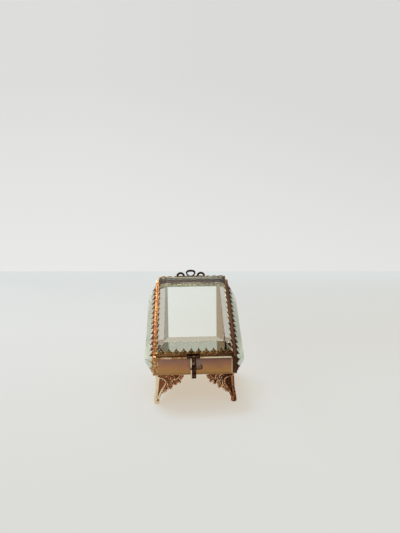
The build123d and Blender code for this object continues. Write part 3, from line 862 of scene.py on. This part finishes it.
def toothed_strip(node, look, plates):
    """Strip with hollow-sided teeth and a pressed boss at the foot of each."""
    bm = merged_copy(node)
    if node in ("lid_left_rail", "lid_right_rail"):
        shorten_teeth(bm, look.side_wear)
    places = tooth_places(bm)
    hollow_flanks(bm, look.tooth_hollow)
    round_long_edges(bm, look.rail_round)
    ease_edges(bm, look.edge_round)
    for foot, along, up, out, half_width, height in places:
        if node_outward(node).dot(out) < 0:
            out = -out
        middle = foot + up * (BOSS_UP * height) + out * TOOTH_THICKNESS
        radii = (BOSS_WIDE * half_width, BOSS_HIGH * height, look.boss_height)
        add_ellipsoid(bm, middle, (along, up, out), radii)
    mark_seats(bm, plates)
    return piece_from(bm, f"{node}_strip")


BEAD_END_GAP = 1.0 * MM
BEAD_HASP_GAP = 3.2 * MM
BEAD_LIFTS = (2.3 * MM, 2.9 * MM)
BEAD_LEANS = (-0.35, 0.35)


def front_beads(look):
    """Row of long pressed beads on the front face of the lid's front rail, up and down by turns."""
    bm = bmesh.new()
    outward = Vector((0, -cos(LID_SLOPE), -sin(LID_SLOPE)))
    up = Vector((0, -sin(LID_SLOPE), cos(LID_SLOPE)))
    step = (LID_HIGH.x - LID_LOW.x - 2 * BEAD_END_GAP) / look.bead_count
    for i in range(look.bead_count):
        x = LID_LOW.x + BEAD_END_GAP + (i + 0.5) * step
        if HASP_LOW.x - BEAD_HASP_GAP < x < HASP_HIGH.x + BEAD_HASP_GAP:
            continue
        along = (Vector((1, 0, 0)) + up * BEAD_LEANS[i % 2]).normalized()
        centre = Vector((x, FRONT_Y, FRONT_RIM_Z)) + up * BEAD_LIFTS[i % 2]
        axes = (along, outward.cross(along), outward)
        add_ellipsoid(bm, centre, axes, (0.52 * step, 0.42 * MM, 0.3 * MM))
    return piece_from(bm, "lid_front_beads")


class CASKET_OT_strips(bpy.types.Operator):
    """Toothed strips that hold the glass, and the rim"""

    bl_idname = "casket.strips"
    bl_label = "Toothed strips"

    def execute(self, context):
        gilt, handled, dark_lid_strip, seat_light_paint = gilt_brass(), top_rail_brass(), dark_lid_strip_brass(), seat_brass_painted_light()
        look = context.scene.casket_metals
        plates = glass_surfaces()
        for node in (*STRIP_NODES, *LID_STRIP_NODES):
            body = "lid" if node in LID_STRIP_NODES else "casket"
            # The top rails take the brass that is painted darker as shade.
            worn = handled if node.endswith("top_rail") else gilt
            strip = toothed_strip(node, look, plates)
            metal = dark_lid_strip if body == "lid" else worn
            finish_piece(strip, metal, body, "patinated_gilt_brass", node)
            # Faces against the glass take the pale seat brass, which is painted light.
            strip.data.materials.append(seat_light_paint)
        finish_piece(front_beads(look), gilt, "lid", "patinated_gilt_brass")
        # The rim's pale gilt carries painted light on the right and painted shade on the left.
        rim = dressed_copy("front_top_rail", "front_rim", look.edge_round)
        finish_piece(rim, rim_gilt_painted_light(), "casket", "patinated_gilt_brass", "front_top_rail")
        return {"FINISHED"}


class CASKET_OT_band(bpy.types.Operator):
    """Satin front band with a fold at each end, and the base plate"""

    bl_idname = "casket.band"
    bl_label = "Front band and base"

    def execute(self, context):
        material = satin_band_brass()
        look = context.scene.casket_metals
        for node in ("front_band", "base_plate"):
            sheet = dressed_copy(node, f"{node}_sheet", look.edge_round)
            finish_piece(sheet, material, "casket", "satin_brass_band", node)
        bm = bmesh.new()
        size = Matrix.Diagonal((look.fold_width, 2 * look.fold_height, BAND_HIGH.z - BAND_LOW.z, 1.0))
        for side in (-1, 1):
            middle = (side * (BAND_HIGH.x + look.fold_width / 2), FRONT_Y, (BAND_LOW.z + BAND_HIGH.z) / 2)
            bmesh.ops.create_cube(bm, size=1.0, matrix=Matrix.Translation(middle) @ size)
        ease_edges(bm, 0.45 * look.fold_height)
        folds = piece_from(bm, "band_end_folds")
        # The folds take the rim's pale gilt, with its painted light and shade.
        finish_piece(folds, rim_gilt_painted_light(), "casket", "patinated_gilt_brass")
        return {"FINISHED"}


class CASKET_OT_hinges(bpy.types.Operator):
    """Hinge knuckles and pins"""

    bl_idname = "casket.hinges"
    bl_label = "Hinges"

    def execute(self, context):
        bronze, gilt = dark_bronze(), gilt_brass()
        edge = context.scene.casket_metals.edge_round
        for node, body in HINGE_NODES.items():
            hinge = dressed_copy(node, f"{node}_turned", edge)
            if node in ("body_knuckles", "lid_knuckles"):
                finish_piece(hinge, gilt, body, "patinated_gilt_brass", node)
            else:
                finish_piece(hinge, bronze, body, "dark_bronze", node)
        return {"FINISHED"}


FOOT_INSET = 2.4 * MM
TOE_HALF = 2.0 * MM
TOE_REACH = (0.98 * TOE_HALF, 0.98 * TOE_HALF, 2.3 * MM)
TOE_MIDDLE_Z = 1.3 * MM

# Scrollwork of one wing, in mm: inward from the wings' corner, out of the wing's face, height; then radius.
LEG = [
    ((1.3, 0.3, 17.6), 0.8), ((0.75, 0.35, 13.6), 0.85), ((0.15, 0.5, 9.0), 0.95),
    ((-0.55, 0.9, 4.9), 1.1), ((-0.9, 1.0, 2.2), 1.2),
]
LOOP = [
    ((0.5, 0.8, 2.6), 0.75), ((1.5, 0.75, 5.4), 0.7), ((2.8, 0.6, 8.2), 0.68), ((4.4, 0.5, 10.9), 0.66),
    ((5.8, 0.5, 13.5), 0.6), ((5.1, 0.45, 15.5), 0.52), ((3.3, 0.4, 16.5), 0.48),
    ((1.5, 0.35, 16.9), 0.45),
]
FAN = [
    [((3.3, 0.3, 8.4), 0.35), ((4.0, 0.5, 7.3), 0.46), ((4.2, 0.3, 6.1), 0.3)],
    [((4.1, 0.3, 9.5), 0.35), ((4.9, 0.5, 8.0), 0.48), ((5.1, 0.3, 6.6), 0.3)],
    [((4.9, 0.3, 10.7), 0.35), ((5.9, 0.5, 8.9), 0.5), ((6.1, 0.3, 7.4), 0.3)],
    [((5.7, 0.3, 12.0), 0.35), ((6.8, 0.5, 10.2), 0.5), ((7.2, 0.3, 8.6), 0.32)],
]
LOBES = [
    [
        ((7.2, 0.35, 14.6), 0.38), ((6.9, 0.5, 12.6), 0.42), ((7.8, 0.5, 10.3), 0.5),
        ((9.2, 0.45, 9.4), 0.45), ((9.9, 0.5, 11.0), 0.45), ((9.2, 0.5, 13.2), 0.42),
        ((8.2, 0.4, 14.8), 0.35),
    ],
    [((8.2, 0.3, 13.4), 0.3), ((8.5, 0.5, 11.8), 0.45), ((8.9, 0.35, 10.8), 0.3)],
    [
        ((10.0, 0.35, 15.2), 0.35), ((10.6, 0.5, 13.2), 0.45), ((11.8, 0.5, 12.0), 0.48),
        ((12.9, 0.5, 12.9), 0.45), ((12.5, 0.45, 14.3), 0.35),
    ],
    [
        ((12.9, 0.3, 15.0), 0.35), ((13.8, 0.5, 13.7), 0.6), ((15.0, 0.5, 13.6), 0.65),
        ((15.8, 0.3, 14.2), 0.35),
    ],
    [
        ((16.9, 0.3, 18.6), 0.4), ((17.1, 0.4, 17.4), 0.48), ((16.5, 0.4, 16.1), 0.45),
        ((15.4, 0.3, 15.4), 0.3),
    ],
]
SCROLLS = [
    [
        ((5.8, 0.4, 17.6), 0.35), ((7.6, 0.55, 18.2), 0.5), ((9.0, 0.6, 17.2), 0.5),
        ((8.7, 0.6, 15.9), 0.42), ((7.6, 0.55, 15.9), 0.36), ((7.3, 0.5, 16.8), 0.3),
    ],
    [
        ((9.4, 0.4, 18.4), 0.35), ((11.0, 0.55, 18.0), 0.5), ((11.7, 0.6, 16.6), 0.52),
        ((10.9, 0.55, 15.5), 0.42), ((10.0, 0.5, 16.1), 0.32),
    ],
    [
        ((11.6, 0.4, 14.9), 0.38), ((12.9, 0.6, 15.9), 0.5), ((14.2, 0.65, 17.2), 0.5),
        ((15.2, 0.4, 18.6), 0.4),
    ],
    [
        ((14.0, 0.3, 15.2), 0.3), ((15.0, 0.5, 16.0), 0.42), ((15.9, 0.5, 17.2), 0.42),
        ((16.2, 0.3, 18.5), 0.35),
    ],
]
TOP_BEAD = [
    ((2.0, 0.15, 18.7), 0.4), ((7.0, 0.15, 18.85), 0.4), ((12.0, 0.15, 18.85), 0.4),
    ((17.0, 0.15, 18.8), 0.38),
]
CORNER_SPINE = [
    ((0.55, -0.55, 18.4), 0.6), ((0.35, -0.35, 13.0), 0.85), ((-0.3, 0.3, 8.0), 1.05),
    ((-0.9, 0.9, 4.0), 1.1), ((-1.1, 1.1, 1.9), 1.1),
]
# Outline of the thin web that backs the scrolls, and the leaning oval eye in it.
WEB = [
    (0.8, 19.2), (17.3, 19.2), (17.2, 17.6), (15.6, 15.0), (14.6, 13.9), (13.0, 13.2), (11.8, 12.3),
    (10.2, 11.9), (9.2, 9.9), (7.8, 9.9), (6.6, 9.0), (5.2, 7.6), (4.0, 6.8), (2.6, 5.6), (1.8, 3.4),
    (0.6, 1.8), (-0.8, 2.2), (-0.5, 6.0), (0.1, 11.0),
]
EYE_MIDDLE = (9.9, 13.9)
EYE_HALF_WIDTH = 0.45
EYE_HALF_HEIGHT = 0.8
EYE_LEAN = radians(30)
EYE_POINTS = 20
WEB_THICK = 0.7


def web_eye():
    """Outline of the eye."""
    points = []
    for i in range(EYE_POINTS):
        turn = 2 * pi * i / EYE_POINTS
        wide, high = EYE_HALF_WIDTH * cos(turn), EYE_HALF_HEIGHT * sin(turn)
        points.append((
            EYE_MIDDLE[0] + wide * cos(EYE_LEAN) - high * sin(EYE_LEAN),
            EYE_MIDDLE[1] + wide * sin(EYE_LEAN) + high * cos(EYE_LEAN),
        ))
    return points


def add_wing_web(bm):
    """Web of one wing in its own plane: x inward, y into the wing, z up."""
    edges = []
    for ring in (WEB, web_eye()):
        verts = [bm.verts.new((u * MM, 0, z * MM)) for u, z in ring]
        edges += [bm.edges.new((a, b)) for a, b in zip(verts, verts[1:] + verts[:1])]
    bmesh.ops.triangle_fill(bm, edges=edges, use_beauty=True, use_dissolve=False)
    grown = bmesh.ops.extrude_face_region(bm, geom=list(bm.faces))
    moved = [item for item in grown["geom"] if isinstance(item, bmesh.types.BMVert)]
    bmesh.ops.translate(bm, verts=moved, vec=(0, WEB_THICK * MM, 0))
    bmesh.ops.recalc_face_normals(bm, faces=list(bm.faces))


def add_wing_scrolls(bm):
    """Raised scrollwork of one wing, in the same plane."""
    paths = [LEG, LOOP, *FAN, *LOBES, *SCROLLS, TOP_BEAD]
    standing = [[((u, 0.25 - out, z), radius) for (u, out, z), radius in path] for path in paths]
    add_tubes(bm, standing)


def both_wings(add_wing):
    """The same on both wings of a corner."""
    bm = bmesh.new()
    add_wing(bm)
    mesh = bpy.data.meshes.new("wing")
    bm.to_mesh(mesh)
    mesh.transform(Matrix(((0, 1, 0, 0), (1, 0, 0, 0), (0, 0, 1, 0), (0, 0, 0, 1))))
    mesh.flip_normals()
    bm.from_mesh(mesh)
    bpy.data.meshes.remove(mesh)
    return bm


def add_toe(bm):
    """Rounded pad, flat underneath."""
    middle = TOE_HALF - FOOT_INSET
    sphere = bmesh.ops.create_uvsphere(bm, u_segments=24, v_segments=12, radius=1.0)["verts"]
    bmesh.ops.scale(bm, verts=sphere, vec=TOE_REACH)
    bmesh.ops.translate(bm, verts=sphere, vec=(middle, middle, TOE_MIDDLE_Z))
    for vert in sphere:
        vert.co.z = max(vert.co.z, 0.0)


def at_corner(mesh, x_side, y_side):
    """Copy of a front left mesh, made about the wings' corner, at one of the four corners."""
    copy = mesh.copy()
    x = x_side * (HALF_WIDTH - FOOT_INSET)
    y = (FRONT_Y + FOOT_INSET) if y_side < 0 else (BACK_Y - FOOT_INSET)
    copy.transform(Matrix.Translation((x, y, 0)) @ Matrix.Diagonal((-x_side, -y_side, 1, 1)))
    if x_side != y_side:
        copy.flip_normals()
    bm = bmesh.new()
    bm.from_mesh(copy)
    bpy.data.meshes.remove(copy)
    return bm


class CASKET_OT_feet(bpy.types.Operator):
    """Pierced scroll feet"""

    bl_idname = "casket.feet"
    bl_label = "Corner feet"

    def execute(self, context):
        gilt, hollows = cast_gilt(), foot_ground_painted_shade()
        web = mesh_from(both_wings(add_wing_web), "foot_web")
        bm = both_wings(add_wing_scrolls)
        add_tubes(bm, [[((u, -out, z), radius) for (u, out, z), radius in CORNER_SPINE]])
        add_toe(bm)
        scrolls = mesh_from(bm, "foot_scrolls")
        for end, y_side in (("front", -1), ("back", 1)):
            for side, x_side in (("left", -1), ("right", 1)):
                corner = f"{end}_{side}"
                # The ground behind the scrolls is dark brown as painted shade.
                ground = piece_from(at_corner(web, x_side, y_side), f"{corner}_foot_ground")
                finish_piece(ground, hollows, "casket", "patinated_gilt_brass")
                raised = piece_from(at_corner(scrolls, x_side, y_side), f"{corner}_foot_scrolls")
                finish_piece(raised, gilt, "casket", "patinated_gilt_brass", f"{corner}_foot")
        for spare in (web, scrolls):
            bpy.data.meshes.remove(spare)
        return {"FINISHED"}


HOOK_CLEARANCE = 0.1 * MM
FACE_SLACK = 0.05 * MM
CUT_SLACK = 0.001 * MM
FACING_FRONT = -0.99
SLOPE_DEPTH = 0.5


def slope_long_edges(bm, width):
    """Slopes the hasp's front face down to its long edges and marks the left slope for its painted
    highlight.
    """
    def on_face(point):
        return abs(point.y - HOOK_HIGH.y - HOOK_CLEARANCE) < FACE_SLACK

    for x in (HASP_LOW.x + width, HASP_HIGH.x - width):
        bm.normal_update()
        front = [f for f in bm.faces if f.normal.y < FACING_FRONT and on_face(f.calc_center_median())]
        edges = {edge for face in front for edge in face.edges}
        verts = {vert for face in front for vert in face.verts}
        bmesh.ops.bisect_plane(
            bm, geom=[*front, *edges, *verts], dist=CUT_SLACK, plane_co=(x, 0, 0), plane_no=(1, 0, 0),
        )
    for face in bm.faces:
        centre = face.calc_center_median()
        if centre.x < HASP_LOW.x + width and on_face(centre):
            face.material_index = 1
    for vert in bm.verts:
        from_side = min(abs(vert.co.x - HASP_LOW.x), abs(vert.co.x - HASP_HIGH.x))
        if from_side < SAME_PLACE and on_face(vert.co):
            vert.co.y += SLOPE_DEPTH * width


class CASKET_OT_latch(bpy.types.Operator):
    """Stud, hasp, rivet and hook"""

    bl_idname = "casket.latch"
    bl_label = "Latch"

    def execute(self, context):
        material = dark_bronze()
        look = context.scene.casket_metals
        bodies = {"latch_stud": "casket", "hook_rivet": "hasp", "hook": "hook"}
        for node, body in bodies.items():
            piece = dressed_copy(node, f"{node}_bronze", look.edge_round)
            finish_piece(piece, material, body, "dark_bronze", node)
        bm = merged_copy("hasp")
        slope_long_edges(bm, look.hasp_chamfer)
        ease_edges(bm, 0.5 * look.edge_round)
        hasp = piece_from(bm, "hasp_bronze")
        finish_piece(hasp, material, "hasp", "dark_bronze", "hasp")
        # The left slope takes the pale painted highlight.
        hasp.data.materials.append(hasp_painted_highlight())
        return {"FINISHED"}


class CASKET_OT_crest(bpy.types.Operator):
    """Loop crest on the back of the lid"""

    bl_idname = "casket.crest"
    bl_label = "Crest"

    def execute(self, context):
        look = context.scene.casket_metals
        piece = dressed_copy("crest", "crest_bronze", 2 * look.edge_round, segments=3)
        finish_piece(piece, dark_bronze(), "lid", "dark_bronze", "crest")
        return {"FINISHED"}


# ---- stage ----
PHOTO_HEIGHT = 533
SENSOR_HEIGHT = 36.0
LAMP_HEX = "#FFFAF3"
LAMP_SPREAD = radians(22)
TABLE_MIDDLE = (-0.4, 0.3, 0.0)
TABLE_HALF = (1.0, 0.75)
WALL_HALF = (0.62, 1.0)
# Cosines to straight up at which the bright ceiling starts and is full.
CEILING_START = 0.88
CEILING_FULL = 0.97


def photo_camera(look, eye, turn):
    """Camera at the photograph's place."""
    lens = bpy.data.cameras.new("photo_camera")
    lens.sensor_fit = "VERTICAL"
    lens.sensor_height = SENSOR_HEIGHT
    lens.lens = look.focal_pixels / PHOTO_HEIGHT * lens.sensor_height
    lens.clip_start = 0.01
    camera = link(bpy.data.objects.new("photo_camera", lens))
    tilt = Matrix.Rotation(pi / 2 - look.camera_pitch, 4, "X")
    roll = Matrix.Rotation(-look.camera_roll, 4, "Z")
    camera.matrix_world = Matrix.Translation(eye) @ turn @ tilt @ roll
    return camera


def flat_sheet(name, place, material):
    """Flat rectangle, as the table or the wall. The matrix is applied to its mesh."""
    bm = bmesh.new()
    bmesh.ops.create_grid(bm, x_segments=1, y_segments=1, size=1.0, matrix=place)
    sheet = link(bpy.data.objects.new(name, mesh_from(bm, name)))
    sheet.data.materials.append(material)
    return sheet


def room_world(look):
    """Room that metal mirrors: bright on the left and above, dim in front and on the right."""
    world = bpy.data.worlds.new("room")
    world.use_nodes = True
    tree = world.node_tree
    background = tree.nodes["Background"].inputs
    toward = add_node(tree, "TexCoord").outputs["Generated"]
    leftness, upness = (
        add_node(tree, "VectorMath", {"operation": "DOT_PRODUCT"}, i0=toward, i1=side).outputs["Value"]
        for side in (WINDOW_SIDE, (0.0, 0.0, 1.0))
    )
    spread = add_node(tree, "MapRange", Value=leftness, From_Min=-0.6, From_Max=0.95)
    stops = [
        (0.0, look.room_dark_hex), (0.4, look.room_dim_hex), (0.66, look.room_hex), (0.9, look.window_hex),
    ]
    room = add_node(tree, "ValToRGB", {"stops": stops}, Fac=spread)
    ray = add_node(tree, "LightPath").outputs
    through = add_node(
        tree, "Math", {"operation": "MAXIMUM"}, i0=ray["Is Camera Ray"], i1=ray["Is Transmission Ray"],
    )
    mirrored = add_node(
        tree, "Mix", {"data_type": "RGBA"}, i0=ray["Is Glossy Ray"], i6=linear(look.fill_hex), i7=room,
    ).outputs[2]
    seen = add_node(
        tree, "Mix", {"data_type": "RGBA"}, i0=through, i6=mirrored, i7=linear(look.wall_hex),
    ).outputs[2]
    tree.links.new(seen, background["Color"])
    # The lid's flat mirrors the bright ceiling straight above, which glass rays don't show.
    ceiling = add_node(
        tree, "MapRange",
        Value=upness, From_Min=CEILING_START, From_Max=CEILING_FULL, To_Min=0.0, To_Max=look.ceiling_gain,
    )
    outside = add_node(tree, "Math", {"operation": "SUBTRACT"}, i0=1.0, i1=through)
    for share in (ray["Is Glossy Ray"], outside):
        ceiling = add_node(tree, "Math", {"operation": "MULTIPLY"}, i0=ceiling, i1=share)
    strength = add_node(tree, "Math", {"operation": "ADD"}, i0=ceiling, i1=look.room_strength)
    tree.links.new(strength.outputs[0], background["Strength"])
    return world


def soft_daylight(look):
    """Wide soft lamp above and behind."""
    light = bpy.data.lights.new("soft_daylight", "SUN")
    light.angle = LAMP_SPREAD
    light.energy = look.daylight
    light.color = linear(LAMP_HEX)[:3]
    lamp = link(bpy.data.objects.new("soft_daylight", light))
    lamp.rotation_euler = (-Vector(DAYLIGHT_SIDE)).to_track_quat("-Z", "Y").to_euler()


class CASKET_OT_stage(bpy.types.Operator):
    """Table, wall, light and camera"""

    bl_idname = "casket.stage"
    bl_label = "Stage"

    def execute(self, context):
        scene = context.scene
        look = scene.casket_stage
        eye = Vector((look.camera_side, FRONT_Y - look.camera_distance, look.camera_height))
        turn = Matrix.Rotation(-look.camera_heading, 4, "Z")
        scene.camera = photo_camera(look, eye, turn)
        table_place = Matrix.Translation(TABLE_MIDDLE) @ Matrix.Diagonal((*TABLE_HALF, 1.0, 1.0))
        table = flat_sheet("table", table_place, floor_paint())
        wall_place = Matrix.Rotation(pi / 2, 4, "X") @ Matrix.Diagonal((*WALL_HALF, 1.0, 1.0))
        wall = flat_sheet("wall", wall_place, wall_paint())
        foot = eye + turn @ Vector((0, look.wall_distance, 0))
        foot.z = 0.0
        wall.matrix_world = Matrix.Translation(foot) @ turn @ Matrix.Rotation(look.wall_turn, 4, "Z")
        scene.world = room_world(look)
        soft_daylight(look)
        scene.view_settings.view_transform = "Standard"
        return {"FINISHED"}


OPERATORS = (
    CASKET_OT_glass,
    CASKET_OT_strips,
    CASKET_OT_band,
    CASKET_OT_hinges,
    CASKET_OT_feet,
    CASKET_OT_latch,
    CASKET_OT_crest,
    CASKET_OT_stage,
)
GROUPS = {"casket_metals": CasketMetals, "casket_glass": CasketGlass, "casket_stage": CasketStage}


class CASKET_PT_panel(bpy.types.Panel):
    """Buttons and settings for the casket"""

    bl_idname = "CASKET_PT_panel"
    bl_label = "Glass casket"
    bl_space_type = "VIEW_3D"
    bl_region_type = "UI"
    bl_category = "Casket"

    def draw(self, context):
        for operator in OPERATORS:
            self.layout.operator(operator.bl_idname)
        for name, group in GROUPS.items():
            box = self.layout.box()
            for key in group.__annotations__:
                box.prop(getattr(context.scene, name), key)


def register():
    for cls in (*GROUPS.values(), *OPERATORS, CASKET_PT_panel):
        bpy.utils.register_class(cls)
    for name, group in GROUPS.items():
        setattr(bpy.types.Scene, name, bpy.props.PointerProperty(type=group))


def unregister():
    for name in GROUPS:
        delattr(bpy.types.Scene, name)
    for cls in reversed((*GROUPS.values(), *OPERATORS, CASKET_PT_panel)):
        bpy.utils.unregister_class(cls)


def main():
    register()
    bpy.ops.casket.glass()
    bpy.ops.casket.strips()
    bpy.ops.casket.band()
    bpy.ops.casket.hinges()
    bpy.ops.casket.feet()
    bpy.ops.casket.latch()
    bpy.ops.casket.crest()
    bpy.ops.casket.stage()


if __name__ == "__main__":
    main()
